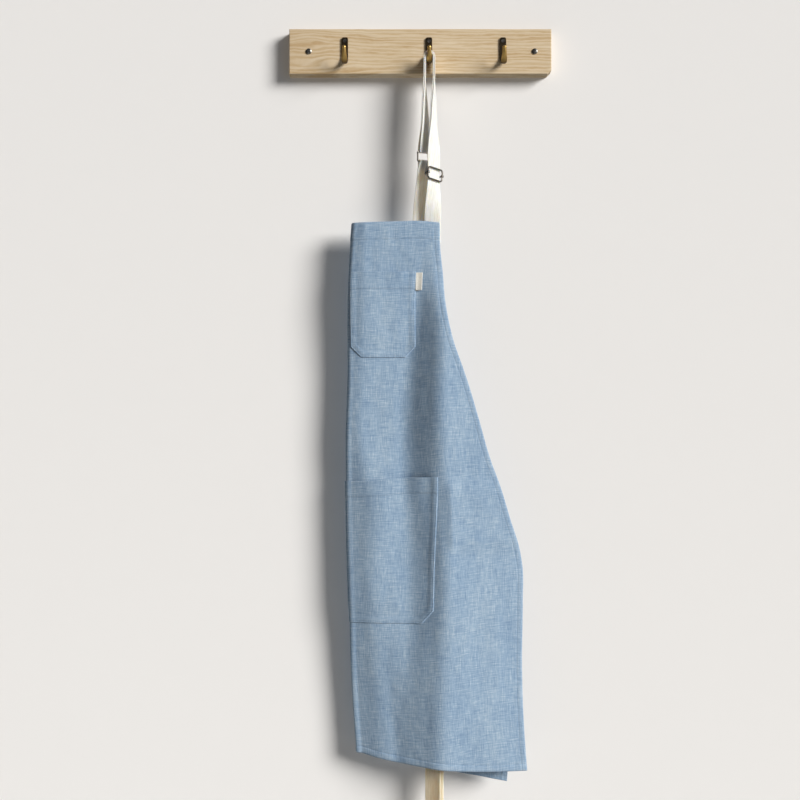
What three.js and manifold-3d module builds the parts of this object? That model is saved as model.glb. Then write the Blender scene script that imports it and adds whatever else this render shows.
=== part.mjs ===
// A bib apron folded in half and hung by its neck strap on the middle hook of a wooden rail
// with three hooks. Millimetres, +Z up. The wall is the plane y = 0, the front is towards -Y,
// and the origin is the centre of the rail's back face.
import * as THREE from 'three';
import { mergeVertices } from 'three/addons/utils/BufferGeometryUtils.js';
import Module from 'manifold-3d';

const wasm = await Module();
wasm.setup();

// ---- driving dimensions ----
const GAP = 0.3;                       // between faces that touch

const RAIL = { length: 400, height: 69, depth: 24, edge: 1.2, cutCorner: 6 };
const WALL_SCREW = { x: [-170, 174.5], head: 8.6, headHeight: 2.4, shank: 4.4, cross: 4.6 };

const HOOK = { x: [-115, 13.2, 126], plateTop: 21, plateBottom: -17, plateWidth: 10, plate: 2.3 };
const ARM = { width: 9.2, thickness: 5, tipWidth: 5.6, tipThickness: 4.4, knob: 3.1 };
const HOOK_SCREW = { z: [15.6, -9], head: 5.4, shank: 2.6, length: 17, cross: 2.9, lip: 0.4 };

const WEBBING = { width: 25, thickness: 1.6, layers: 2.1 };
const SADDLE = { width: 24, y: -40.3, inner: 5.2, crown: -8.8, end: -42 };
const STRAP_TOP = { from: 45.5, to: 72 };
const STRAP_LOWER = 78;

const WIRE = 2.5;
const RING = { at: [7.9, -40.2, -165], width: 31.5, height: 19, corner: 3, turn: 32, roll: 0 };
const SLIDER = { at: [19, -47.8, -193], width: 31.5, height: 20, corner: 4, turn: 43, roll: 7 };
const CENTRE_BAR = { behind: 4.8, sleeve: 2.3 };
const SEWN_END = { front: 13, back: 9, ring: 11 };     // how far each sewn end reaches

const CLOTH = { thickness: 2.4, front: -52, back: -35, fold: -110, foldRadius: 8 };
const BIB = { top: -262, right: 29 };
const WAIST = { x: 152, z: -775 };
const HEM = { left: -1065, right: -1089, x: 160, backDrop: 17, backInset: 28 };
const FOLDS = { width: 58, extra: 3.6, below: 45 };   // the open side hangs in folds
const POCKET_CLOTH = { sheet: 1.4, seam: 3, depth: 7.2 };
const CHEST = { left: -106, right: -6, top: -337, bottom: -468, chamfer: 17 };
const LOWER = { left: -107, right: 24, top: -650, bottom: -868, chamfer: 19 };
const LABEL = { left: -5.6, right: 4.8, top: -340, bottom: -366, thickness: 0.8 };

const TIE = {
  cornerX: 132, cornerZ: -796, inwards: 70, sag: 18, turn: 110,      // from the waist corner inwards
  turnAt: 19, drop: -985, gap: 2, end: -1560, backShift: 4,          // and then straight down
};

// ---- materials ----
const material = (color, roughness, metalness = 0) =>
  new THREE.MeshStandardMaterial({ color, roughness, metalness });
const pine = () => material(0xd3bd94, 0.7);
const brass = () => material(0x5a4426, 0.35, 0.9);
const darkSteel = () => material(0x55504a, 0.4, 0.9);
const steel = () => material(0xa9a7a2, 0.35, 1);
const linen = () => material(0x8fa8bf, 0.95);
const cotton = () => material(0xe9e4d8, 0.9);

const apron = new THREE.Group();

function add(name, geometry, finish) {
  const mesh = new THREE.Mesh(geometry, finish);
  mesh.name = name;
  apron.add(mesh);
  return mesh;
}

// ---- solids ----
function solidOf(geometry) {
  const bare = geometry.clone();
  bare.deleteAttribute('normal');
  bare.deleteAttribute('uv');
  const merged = mergeVertices(bare, 1e-4);
  return new wasm.Manifold(new wasm.Mesh({
    numProp: 3,
    vertProperties: new Float32Array(merged.attributes.position.array),
    triVerts: new Uint32Array(merged.index.array),
  }));
}

function geometryOf(solid) {
  const mesh = solid.getMesh();
  const geometry = new THREE.BufferGeometry();
  geometry.setAttribute('position', new THREE.BufferAttribute(mesh.vertProperties, 3));
  geometry.setIndex(new THREE.BufferAttribute(mesh.triVerts, 1));
  geometry.computeVertexNormals();
  return geometry;
}

// A flat outline in x and z, made solid from its back face at y = back towards the front.
function plate(outline, back, thickness, bevel = 0) {
  const geometry = new THREE.ExtrudeGeometry(outline, {
    depth: thickness - 2 * bevel,
    bevelEnabled: bevel > 0,
    bevelThickness: bevel,
    bevelSize: bevel,
    bevelOffset: -bevel,
    bevelSegments: 2,
    curveSegments: 8,
  });
  return geometry.rotateX(Math.PI / 2).translate(0, back - bevel, 0);
}

// A closed outline through straight corners.
const outlineOf = (corners) => new THREE.Shape(corners.map(([x, z]) => new THREE.Vector2(x, z)));

function roundedOutline(width, height, radius) {
  const [w, h] = [width / 2, height / 2];
  const shape = new THREE.Shape();
  shape.moveTo(-w + radius, -h);
  shape.lineTo(w - radius, -h).absarc(w - radius, -h + radius, radius, -Math.PI / 2, 0);
  shape.lineTo(w, h - radius).absarc(w - radius, h - radius, radius, 0, Math.PI / 2);
  shape.lineTo(-w + radius, h).absarc(-w + radius, h - radius, radius, Math.PI / 2, Math.PI);
  shape.lineTo(-w, -h + radius).absarc(-w + radius, -h + radius, radius, Math.PI, Math.PI * 1.5);
  return shape;
}

// A closed strip of rings of points: each ring's last point joins its first, and both ends are capped.
function skinOver(rings, capped = true) {
  const sides = rings[0].length;
  const index = [];
  for (let i = 0; i + 1 < rings.length + (capped ? 0 : 1); i++) {
    const next = ((i + 1) % rings.length) * sides;
    for (let k = 0; k < sides; k++) {
      const a = i * sides + k;
      const b = i * sides + (k + 1) % sides;
      const c = next + k;
      const d = next + (k + 1) % sides;
      index.push(b, a, c, b, c, d);
    }
  }
  if (capped) {
    const last = (rings.length - 1) * sides;
    for (let k = 1; k + 1 < sides; k++) {
      index.push(0, k, k + 1, last, last + k + 1, last + k);
    }
  }
  const geometry = new THREE.BufferGeometry().setFromPoints(rings.flat());
  geometry.setIndex(index);
  geometry.computeVertexNormals();
  return geometry;
}

// Webbing along its stations, each a point and the direction that the webbing's face looks in.
function ribbon(stations, width = WEBBING.width, thickness = WEBBING.thickness) {
  const corners = [[-1, -1], [1, -1], [1, 1], [-1, 1]];
  return skinOver(stations.map(({ at, face }, i) => {
    const before = stations[Math.max(i - 1, 0)].at;
    const after = stations[Math.min(i + 1, stations.length - 1)].at;
    const along = after.clone().sub(before).normalize();
    const across = new THREE.Vector3().crossVectors(along, face).normalize();
    const out = new THREE.Vector3().crossVectors(across, along);
    return corners.map(([a, o]) => at.clone()
      .addScaledVector(across, a * width / 2)
      .addScaledVector(out, o * thickness / 2));
  }));
}

// ---- rail, its screws and its hooks ----
// A screw along Y: its head's face at y = front, its tip towards the wall.
function screw({ head, headHeight, shank, length, cross, lip }, countersunk) {
  const r = head / 2;
  const s = shank / 2;
  const profile = countersunk
    ? [[0, 0], [r, 0], [r, lip], [s, lip + r - s], [s, length - s], [0, length]]
    : [[0, 0], [r * 0.6, 0.25], [r, 1.2], [r, headHeight], [s, headHeight], [s, length], [0, length]];
  const points = profile.map(([radius, y]) => new THREE.Vector2(radius, y));
  let solid = solidOf(new THREE.LatheGeometry(points, 20));
  const slot = new THREE.BoxGeometry(cross, 2, cross / 4);
  solid = solid.subtract(solidOf(slot)).subtract(solidOf(slot.clone().rotateY(Math.PI / 2)));
  return geometryOf(solid);
}

function hole(radius, x, z, from, to) {
  const drill = new THREE.CylinderGeometry(radius, radius, to - from, 24);
  return solidOf(drill.translate(x, (from + to) / 2, z));
}

function rail() {
  const w = RAIL.length / 2;
  const h = RAIL.height / 2;
  const outline = outlineOf([
    [-w, -h], [w - RAIL.cutCorner, -h], [w, -h + RAIL.cutCorner], [w, h], [-w, h],
  ]);
  let board = solidOf(plate(outline, 0, RAIL.depth, RAIL.edge));
  for (const x of WALL_SCREW.x) {
    board = board.subtract(hole(WALL_SCREW.shank / 2 + GAP, x, 0, -RAIL.depth - 1, 1));
  }
  const pilotEnd = -RAIL.depth + HOOK_SCREW.length;
  for (const x of HOOK.x) {
    for (const z of HOOK_SCREW.z) {
      board = board.subtract(hole(HOOK_SCREW.shank / 2 + GAP, x, z, -RAIL.depth - 1, pilotEnd));
    }
  }
  return geometryOf(board);
}

// The arm leaves the plate's foot, dips and turns up in front to a small knob. Points are y, z.
const armLine = new THREE.CatmullRomCurve3([
  [-26.8, -11.5], [-29.6, -16.2], [-35, -19.6], [-43, -19.9],
  [-50.6, -16.4], [-55.2, -10], [-57.3, -5], [-57.8, -2.8],
].map(([y, z]) => new THREE.Vector3(0, y, z)));

function hookArm(x) {
  const steps = 26;
  const sides = 14;
  const rings = [];
  for (let i = 0; i <= steps; i++) {
    const t = i / steps;
    const at = armLine.getPointAt(t);
    const along = armLine.getTangentAt(t);
    const up = new THREE.Vector3(0, -along.z, along.y);
    const slim = THREE.MathUtils.smoothstep(t, 0.45, 1);
    const halfWidth = THREE.MathUtils.lerp(ARM.width, ARM.tipWidth, slim) / 2;
    const halfDepth = THREE.MathUtils.lerp(ARM.thickness, ARM.tipThickness, slim) / 2;
    rings.push(Array.from({ length: sides }, (_, k) => {
      const angle = 2 * Math.PI * k / sides;
      return at.clone().addScaledVector(up, halfDepth * Math.sin(angle))
        .add(new THREE.Vector3(x + halfWidth * Math.cos(angle), 0, 0));
    }));
  }
  const knob = new THREE.SphereGeometry(ARM.knob, 16, 12);
  const tip = armLine.getPointAt(1);
  return solidOf(skinOver(rings)).add(solidOf(knob.translate(x, tip.y, tip.z)));
}

function hook(x) {
  const height = HOOK.plateTop - HOOK.plateBottom;
  const back = -RAIL.depth - GAP;
  const outline = roundedOutline(HOOK.plateWidth, height, 3);
  const middle = (HOOK.plateTop + HOOK.plateBottom) / 2;
  let body = solidOf(plate(outline, back, HOOK.plate, 0.4).translate(x, 0, middle)).add(hookArm(x));
  const front = back - HOOK.plate;
  const r = HOOK_SCREW.head / 2 + GAP;
  const s = HOOK_SCREW.shank / 2;
  for (const z of HOOK_SCREW.z) {
    const cone = new THREE.CylinderGeometry(s, r, r - s, 24);
    body = body.subtract(hole(s + GAP, x, z, front, back + 1))
      .subtract(solidOf(cone.translate(x, front + HOOK_SCREW.lip + (r - s) / 2, z)))
      .subtract(hole(r, x, z, front - 12, front + HOOK_SCREW.lip));
  }
  return geometryOf(body);
}

add('rail_board', rail(), pine());
const wallScrew = { ...WALL_SCREW, length: RAIL.depth + GAP + WALL_SCREW.headHeight };
['left', 'right'].forEach((side, i) => {
  const mesh = add(`wall_screw_${side}`, screw(wallScrew, false), steel());
  mesh.position.set(WALL_SCREW.x[i], -RAIL.depth - GAP - WALL_SCREW.headHeight, 0);
});
['left', 'middle', 'right'].forEach((side, i) => {
  add(`hook_${side}`, hook(HOOK.x[i]), brass());
  ['upper', 'lower'].forEach((place, j) => {
    const mesh = add(`hook_screw_${side}_${place}`, screw(HOOK_SCREW, true), brass());
    mesh.position.set(HOOK.x[i], -RAIL.depth - GAP - HOOK.plate, HOOK_SCREW.z[j]);
  });
});

// ---- neck strap ----
// Each leg of the strap hangs from the hook edge-on and turns flat on its way to the apron.
// Columns: drop below the rail's axis, x, y, degrees that the face is turned from the front.
const LEFT_LEG = [
  [42, 6.2, -40.3, 90], [58, 6.2, -40.4, 85], [78, 6.5, -40.6, 77], [123, 7.2, -40.8, 60],
  [155, 7.9, -40.2, 32], [320, 7.9, -40.2, 32],
];
const RIGHT_LEG = [
  [42, 20.2, -40.3, 90], [58, 20.2, -41, 85], [78, 20, -42.4, 77], [123, 19.2, -45.4, 63],
  [155, 19.2, -47.8, 43], [200, 19, -47.8, 43], [228, 18.6, -47.2, 26], [250, 18.2, -46.7, 4],
  [262, 18, -46.7, 0], [300, 18, -46.7, 0],
];
const BACK_STRAP = [
  [178, 6.6, -40.2, 32], [210, 4.2, -40, 24], [240, 1.8, -39.5, 5], [262, 0.4, -39.4, 0],
  [300, 0.4, -39.4, 0],
];

function along(leg, from, to, steps, offset = 0) {
  const drops = leg.map((row) => row[0]);
  const table = new THREE.CubicInterpolant(drops, leg.flatMap((row) => row.slice(1)), 3);
  return Array.from({ length: steps + 1 }, (_, i) => {
    const drop = THREE.MathUtils.lerp(from, to, i / steps);
    const [x, y, degrees] = table.evaluate(drop);
    const turn = THREE.MathUtils.degToRad(degrees);
    const face = new THREE.Vector3(Math.sin(turn), -Math.cos(turn), 0);
    return { at: new THREE.Vector3(x, y, -drop).addScaledVector(face, offset), face };
  });
}

// Stations round a bar: a half turn from the front layer to the back layer, below or above it.
function roundBar({ at, face }, radius, below = true, steps = 8) {
  const down = new THREE.Vector3(0, 0, below ? -1 : 1);
  return Array.from({ length: steps + 1 }, (_, i) => {
    const angle = Math.PI * i / steps;
    const out = face.clone().multiplyScalar(Math.cos(angle)).addScaledVector(down, Math.sin(angle));
    return { at: at.clone().addScaledVector(out, radius), face: out };
  });
}

// The strap lies over the hook twice, so the saddle has an inner and an outer layer.
function saddle(inner) {
  const outer = inner + WEBBING.thickness;
  const centre = SADDLE.crown - SADDLE.inner;
  const arch = new THREE.Shape();
  arch.moveTo(-outer, SADDLE.end);
  arch.lineTo(-outer, centre).absarc(0, centre, outer, Math.PI, 0, true);
  arch.lineTo(outer, SADDLE.end).lineTo(inner, SADDLE.end).lineTo(inner, centre);
  arch.absarc(0, centre, inner, 0, Math.PI, false);
  arch.lineTo(-inner, SADDLE.end);
  return plate(arch, SADDLE.y + SADDLE.width / 2, SADDLE.width).translate(HOOK.x[1], 0, 0);
}

const halfPair = WEBBING.layers / 2;
add('neck_strap_saddle_inner', saddle(SADDLE.inner), cotton());
add('neck_strap_saddle_outer', saddle(SADDLE.inner + WEBBING.layers), cotton());
for (const [side, leg] of [['left', LEFT_LEG], ['right', RIGHT_LEG]]) {
  for (const [layer, offset] of [['front', halfPair], ['back', -halfPair]]) {
    const stations = along(leg, STRAP_TOP.from, STRAP_TOP.to, 6, offset);
    add(`neck_strap_top_${side}_${layer}`, ribbon(stations), cotton());
  }
}

// The left leg goes round the ring's upper bar and back up.
const turnRadius = WIRE / 2 + GAP + WEBBING.thickness / 2 + 0.2;
const ringBarDrop = -RING.at[2] - (RING.height - WIRE) / 2;
const leftTurn = along(LEFT_LEG, ringBarDrop, ringBarDrop + 1, 1)[0];
const spread = (stations, sign) => stations.map(({ at, face }, i, all) => {
  const opening = THREE.MathUtils.smoothstep(i / (all.length - 1), 0.6, 1);
  const out = face.clone().multiplyScalar(sign);
  return {
    at: at.clone().addScaledVector(out, THREE.MathUtils.lerp(halfPair, turnRadius, opening)),
    face: out,
  };
});
const leftRun = along(LEFT_LEG, STRAP_LOWER, ringBarDrop, 16);
add('neck_strap_left_leg', ribbon([
  ...spread(leftRun, 1).slice(0, -1),
  ...roundBar(leftTurn, turnRadius),
  ...spread(leftRun, -1).slice(0, -1).reverse(),
]), cotton());

// The right leg's front layer runs through the slider to the bib's front corner. Its back layer
// comes down towards the slider.
add('neck_strap_front_run', ribbon(along(RIGHT_LEG, STRAP_LOWER, 298, 30, halfPair)), cotton());
add('neck_strap_end_run', ribbon(along(RIGHT_LEG, STRAP_LOWER, 150, 10, -halfPair)), cotton());
// The short strap goes round the ring's lower bar and is sewn inside the back corner of the bib.
const lowerBar = {
  at: new THREE.Vector3(...RING.at).setZ(RING.at[2] - (RING.height - WIRE) / 2),
  face: leftTurn.face,
};
const backRun = along(BACK_STRAP, 184, 298, 16);
add('back_strap', ribbon([
  {
    at: lowerBar.at.clone().addScaledVector(lowerBar.face, -turnRadius)
      .setZ(lowerBar.at.z - SEWN_END.ring),
    face: lowerBar.face.clone().negate(),
  },
  ...roundBar(lowerBar, turnRadius, false).reverse(),
  ...backRun.slice(1),
]), cotton());

// ---- ring and slider ----
function wireLoop(width, height, corner) {
  const outline = roundedOutline(width - WIRE, height - WIRE, corner);
  const points = outline.getPoints(5).map((p) => new THREE.Vector3(p.x, 0, p.y));
  if (points[0].distanceTo(points.at(-1)) < 1e-6) points.pop();
  const rings = points.map((at, i) => {
    const before = points.at(i - 1);
    const after = points[(i + 1) % points.length];
    const side = new THREE.Vector3(after.z - before.z, 0, before.x - after.x).normalize();
    return Array.from({ length: 10 }, (_, k) => {
      const angle = 2 * Math.PI * k / 10;
      return at.clone().addScaledVector(side, WIRE / 2 * Math.cos(angle))
        .add(new THREE.Vector3(0, -WIRE / 2 * Math.sin(angle), 0));
    });
  });
  return skinOver(rings, false);
}

function place(mesh, { at, turn, roll }, forward = 0) {
  const angle = THREE.MathUtils.degToRad(turn);
  mesh.rotation.set(0, THREE.MathUtils.degToRad(roll), angle, 'ZYX');
  mesh.position.set(at[0] + forward * Math.sin(angle), at[1] - forward * Math.cos(angle), at[2]);
}

const ring = wireLoop(RING.width, RING.height, RING.corner);
place(add('ring', ring, darkSteel()), RING);
const sliderForward = halfPair + WEBBING.thickness / 2 + WIRE / 2 + 4 * GAP;
const sliderFrame = wireLoop(SLIDER.width, SLIDER.height, SLIDER.corner);
place(add('slider_frame', sliderFrame, darkSteel()), SLIDER, sliderForward);

const barBow = sliderForward - halfPair + CENTRE_BAR.behind;

// The bar slides on the frame's two sides by an eye at each end, and bows back behind the strap.
function centreBar() {
  const reach = (SLIDER.width - WIRE) / 2;
  const line = new THREE.CatmullRomCurve3([
    [-reach, 2], [-reach, barBow * 0.6], [-reach + 0.7, barBow * 0.92], [-reach + 2.2, barBow],
    [reach - 2.2, barBow], [reach - 0.7, barBow * 0.92], [reach, barBow * 0.6], [reach, 2],
  ].map(([x, y]) => new THREE.Vector3(x, y, 0)));
  const steps = 30;
  const rings = Array.from({ length: steps + 1 }, (_, i) => {
    const at = line.getPointAt(i / steps);
    const tangent = line.getTangentAt(i / steps);
    const side = new THREE.Vector3(tangent.y, -tangent.x, 0);
    return Array.from({ length: 10 }, (_, k) => {
      const angle = 2 * Math.PI * k / 10;
      return at.clone().addScaledVector(side, WIRE / 2 * Math.cos(angle))
        .add(new THREE.Vector3(0, 0, WIRE / 2 * Math.sin(angle)));
    });
  });
  let bar = solidOf(skinOver(rings));
  for (const side of [-1, 1]) {
    const eye = (radius, height) => {
      const geometry = new THREE.CylinderGeometry(radius, radius, height, 20).rotateX(Math.PI / 2);
      return solidOf(geometry.translate(side * reach, 0, 0));
    };
    bar = bar.add(eye(CENTRE_BAR.sleeve, WIRE)).subtract(eye(WIRE / 2 + GAP, WIRE * 3));
  }
  return geometryOf(bar);
}

place(add('slider_centre_bar', centreBar(), darkSteel()), SLIDER, sliderForward);

// The strap's end goes round the centre bar and is sewn to itself.
const bar = { at: new THREE.Vector3(0, barBow, 0), face: new THREE.Vector3(0, -1, 0) };
const sewnEnd = ribbon([
  { at: new THREE.Vector3(0, barBow - turnRadius, SEWN_END.front), face: bar.face },
  ...roundBar(bar, turnRadius),
  { at: new THREE.Vector3(0, barBow + turnRadius, SEWN_END.back), face: bar.face.clone().negate() },
], SADDLE.width);
place(add('neck_strap_sewn_end', sewnEnd, cotton()), SLIDER, sliderForward);

// ---- apron cloth ----
// One half of the folded apron, from the fold to its open side.
function halfOutline(inset, drop) {
  const shape = new THREE.Shape();
  shape.moveTo(CLOTH.fold + CLOTH.foldRadius, BIB.top);
  shape.lineTo(BIB.right - inset * 0.2, BIB.top);
  shape.bezierCurveTo(BIB.right + 5, BIB.top - 120, BIB.right + 20 - inset * 0.4, BIB.top - 180,
    BIB.right + 42 - inset * 0.6, BIB.top - 245);
  shape.lineTo(WAIST.x - inset * 0.5, WAIST.z);
  shape.lineTo(HEM.x - inset, HEM.right - drop);
  shape.quadraticCurveTo(CLOTH.fold + 110, HEM.right + 10, CLOTH.fold + CLOTH.foldRadius, HEM.left);
  return shape;
}

function cloth() {
  const depth = CLOTH.back - CLOTH.front;
  const bend = new THREE.Shape();
  bend.absarc(0, 0, depth / 2, Math.PI / 2, -Math.PI / 2, false);
  bend.absarc(0, 0, depth / 2 - CLOTH.thickness, -Math.PI / 2, Math.PI / 2, true);
  const height = BIB.top - HEM.left;
  const fold = new THREE.ExtrudeGeometry(bend, { depth: height, bevelEnabled: false, curveSegments: 8 });
  fold.translate(CLOTH.fold + CLOTH.foldRadius, (CLOTH.front + CLOTH.back) / 2, HEM.left);
  const inner = CLOTH.front + CLOTH.thickness;
  const halves = [
    { back: inner, inset: 0, drop: 0, foldsBack: inner + FOLDS.extra },
    {
      back: CLOTH.back, inset: HEM.backInset, drop: HEM.backDrop,
      foldsBack: CLOTH.back - CLOTH.thickness,
    },
  ];
  const bibBox = new THREE.BoxGeometry(400, 200, 100);
  const aboveFolds = solidOf(bibBox.translate(0, 0, BIB.top - FOLDS.below + 50));
  return geometryOf(halves.reduce((whole, { back, inset, drop, foldsBack }) => {
    const half = solidOf(plate(halfOutline(inset, drop), back, CLOTH.thickness));
    const closedSide = solidOf(plate(halfOutline(inset + FOLDS.width, drop), back + 20, 40));
    const folds = solidOf(plate(halfOutline(inset, drop), foldsBack, FOLDS.extra));
    return whole.add(half).add(folds.subtract(closedSide).subtract(aboveFolds));
  }, solidOf(fold)));
}

add('apron_cloth', cloth(), linen());

// A patch pocket: a sheet with a seam wall on three sides, open at its top and towards the apron.
// It faces the front, or the wall when it is sewn to the back half.
function pocket({ left, right, top, bottom, chamfer }, onBack = false) {
  const { sheet, seam, depth } = POCKET_CLOTH;
  const outline = (inset, topRise) => outlineOf([
    [left + inset, top + topRise], [left + inset, bottom + inset],
    [right - chamfer - inset * 0.4, bottom + inset], [right - inset, bottom + chamfer + inset * 0.4],
    [right - inset, top + topRise],
  ]);
  const back = CLOTH.front - GAP;
  const shell = solidOf(plate(outline(0, 0), back, depth));
  const inside = solidOf(plate(outline(seam, 20), back + 1, depth - sheet + 1));
  const solid = geometryOf(shell.subtract(inside));
  return onBack ? mirrored(solid) : solid;
}

// The same shape facing the wall, mirrored in the plane midway between the two halves.
function mirrored(geometry) {
  const flipped = geometry.clone().scale(1, -1, 1).translate(0, CLOTH.front + CLOTH.back, 0);
  const index = flipped.index.array;
  for (let i = 0; i < index.length; i += 3) {
    [index[i], index[i + 1]] = [index[i + 1], index[i]];
  }
  flipped.computeVertexNormals();
  return flipped;
}

add('chest_pocket', pocket(CHEST), linen());
add('lower_pocket_front', pocket(LOWER), linen());
add('lower_pocket_back', pocket(LOWER, true), linen());
const { left, right, top, bottom } = LABEL;
const label = outlineOf([[left, bottom], [right, bottom], [right, top], [left, top]]);
add('side_label', plate(label, CLOTH.front - GAP, LABEL.thickness), cotton());

// ---- waist ties ----
// Each tie is sewn inside its waist corner, tucked in between the two halves, and hangs down.
function tie(y, cornerX, turnAt) {
  const face = new THREE.Vector3(0, -1, 0);
  const line = new THREE.CubicBezierCurve3(
    new THREE.Vector3(cornerX, y, TIE.cornerZ),
    new THREE.Vector3(cornerX - TIE.inwards, y, TIE.cornerZ - TIE.sag),
    new THREE.Vector3(turnAt, y, TIE.drop + TIE.turn),
    new THREE.Vector3(turnAt, y, TIE.drop + TIE.gap),
  );
  const tucked = line.getSpacedPoints(24).map((at) => ({ at, face }));
  const hanging = [TIE.drop - TIE.gap, TIE.end]
    .map((z) => ({ at: new THREE.Vector3(turnAt, y, z), face }));
  return [ribbon(tucked), ribbon(hanging)];
}

const inside = GAP + WEBBING.thickness / 2;
for (const [side, y, inset, shift] of [
  ['front', CLOTH.front + CLOTH.thickness + FOLDS.extra + inside, 0, 0],
  ['back', CLOTH.back - CLOTH.thickness - FOLDS.extra - inside, HEM.backInset, TIE.backShift],
]) {
  const [tucked, hanging] = tie(y, TIE.cornerX - inset, TIE.turnAt + shift);
  add(`waist_tie_${side}_tucked`, tucked, cotton());
  add(`waist_tie_${side}_hanging`, hanging, cotton());
}

export default apron;
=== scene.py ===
"""The looks of a linen bib apron, folded in half and hung by its neck strap on the middle hook
of a wooden rail. Functions work in millimetres; meshes are made in metres."""
import math

import bpy
import numpy as np
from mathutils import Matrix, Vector, noise


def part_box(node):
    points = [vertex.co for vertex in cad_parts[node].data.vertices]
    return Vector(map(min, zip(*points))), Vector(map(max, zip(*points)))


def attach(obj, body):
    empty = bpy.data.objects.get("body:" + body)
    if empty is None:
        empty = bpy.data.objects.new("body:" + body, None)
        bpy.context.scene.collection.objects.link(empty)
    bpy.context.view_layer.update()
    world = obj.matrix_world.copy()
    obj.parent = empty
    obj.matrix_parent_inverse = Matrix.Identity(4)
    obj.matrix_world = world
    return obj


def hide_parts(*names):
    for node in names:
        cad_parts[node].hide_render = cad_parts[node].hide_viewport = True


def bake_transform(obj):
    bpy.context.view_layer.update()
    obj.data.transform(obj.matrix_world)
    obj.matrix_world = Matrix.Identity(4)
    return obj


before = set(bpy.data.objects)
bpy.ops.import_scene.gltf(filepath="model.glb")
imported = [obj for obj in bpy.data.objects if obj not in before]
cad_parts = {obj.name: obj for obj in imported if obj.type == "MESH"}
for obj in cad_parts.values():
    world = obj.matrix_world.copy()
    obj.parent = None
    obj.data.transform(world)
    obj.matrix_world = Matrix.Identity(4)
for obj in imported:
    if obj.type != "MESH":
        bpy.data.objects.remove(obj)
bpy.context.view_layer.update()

MM = 0.001
CLOTH_PLACE = "flat"                 # the attribute that holds each point's place on the flat cloth


# ---- numbers along a curve ----
def smooth(t, low=0.0, high=1.0):
    """0 up to low, 1 from high on, and an even rise between."""
    t = np.clip((np.asarray(t, float) - low) / (high - low), 0, 1)
    return t * t * (3 - 2 * t)


def bump(t, middle, half_width):
    """1 at the middle, falling to 0 at half_width on each side."""
    return 1 - smooth(np.abs(np.asarray(t, float) - middle), 0, half_width)


def table(rows, at):
    """Smooth values at `at` from rows whose first number rises."""
    rows = np.array(rows, float)
    keys, values = rows[:, 0], rows[:, 1:]
    slopes = np.gradient(values, keys, axis=0)
    at = np.clip(np.asarray(at, float), keys[0], keys[-1])
    i = np.clip(np.searchsorted(keys, at) - 1, 0, len(keys) - 2)
    span = (keys[i + 1] - keys[i])[..., None]
    u = (at - keys[i])[..., None] / span
    ease = u * u * (3 - 2 * u)
    made = values[i] * (1 - ease) + values[i + 1] * ease
    made = made + slopes[i] * span * u * (1 - u) ** 2 - slopes[i + 1] * span * u * u * (1 - u)
    return made[..., 0] if made.shape[-1] == 1 else made


def unit(v):
    v = np.asarray(v, float)
    return v / np.maximum(np.linalg.norm(v, axis=-1, keepdims=True), 1e-12)


def lengths_along(points):
    """The distance from the first point to each point."""
    steps = np.linalg.norm(np.diff(points, axis=0), axis=-1)
    return np.concatenate([np.zeros((1,) + steps.shape[1:]), np.cumsum(steps, axis=0)])


def wander(across, down, seed):
    """Soft noise from -1 to 1 at each place, which is already divided by the noise's scales."""
    offset = Vector((seed * 17.3, seed * 5.1, seed * 9.7))
    places = zip(across.ravel(), down.ravel())
    return np.array([noise.noise(Vector((a, d, 0)) + offset) for a, d in places]).reshape(across.shape)


# ---- objects and meshes ----
def linked(name, data):
    """A new object in the scene."""
    obj = bpy.data.objects.new(name, data)
    bpy.context.scene.collection.objects.link(obj)
    return obj


def make_mesh(name, verts, faces, material, flat=None, flat_faces=()):
    """An object from points in millimetres. flat holds each vertex's place on the cloth, in mm."""
    mesh = bpy.data.meshes.new(name)
    mesh.from_pydata((np.asarray(verts, float) * MM).tolist(), [], [list(f) for f in faces])
    soft = np.ones(len(faces), bool)
    soft[list(flat_faces)] = False
    mesh.polygons.foreach_set("use_smooth", soft)
    if flat is not None:
        attribute = mesh.attributes.new(CLOTH_PLACE, "FLOAT_VECTOR", "POINT")
        attribute.data.foreach_set("vector", (np.asarray(flat, np.float32) * MM).ravel())
    mesh.materials.append(material)
    mesh.update()
    return linked(name, mesh)


def stands_for(piece, body, slot, *nodes):
    """Makes a piece ride on a body in place of CAD nodes."""
    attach(piece, body)
    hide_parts(*nodes)


def grid_faces(rows, columns, wrap=False):
    """Quads of a grid of points, row after row. With wrap, each row closes on itself."""
    faces = []
    for i in range(rows - 1):
        for j in range(columns if wrap else columns - 1):
            a, b = i * columns + j, i * columns + (j + 1) % columns
            faces.append((a, b, b + columns, a + columns))
    return faces


def make_sheet(name, points, material, across, down):
    """A cloth from a grid of points, facing out of its right side. Its rows go down and its columns
    go across, and across and down give each point's place on the flat cloth."""
    faces = [f[::-1] for f in grid_faces(*points.shape[:2])]
    flat = np.stack([across, down, np.zeros_like(down)], -1)
    return make_mesh(name, points.reshape(-1, 3), faces, material, flat.reshape(-1, 3))


def merged(name, tubes, material):
    """One piece from several tubes of rings of points, each with whether it closes on itself."""
    verts, faces = [], []
    for rings, closed in tubes:
        rings = np.asarray(rings, float)
        count, sides = rings.shape[:2]
        base = len(verts)
        verts += rings.reshape(-1, 3).tolist()
        for face in grid_faces(count + int(closed), sides, wrap=True):
            faces.append(tuple(base + v % (count * sides) for v in face))
        if not closed:
            faces.append(tuple(range(base + sides - 1, base - 1, -1)))
            faces.append(tuple(range(base + (count - 1) * sides, base + count * sides)))
    return make_mesh(name, verts, faces, material)


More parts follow.
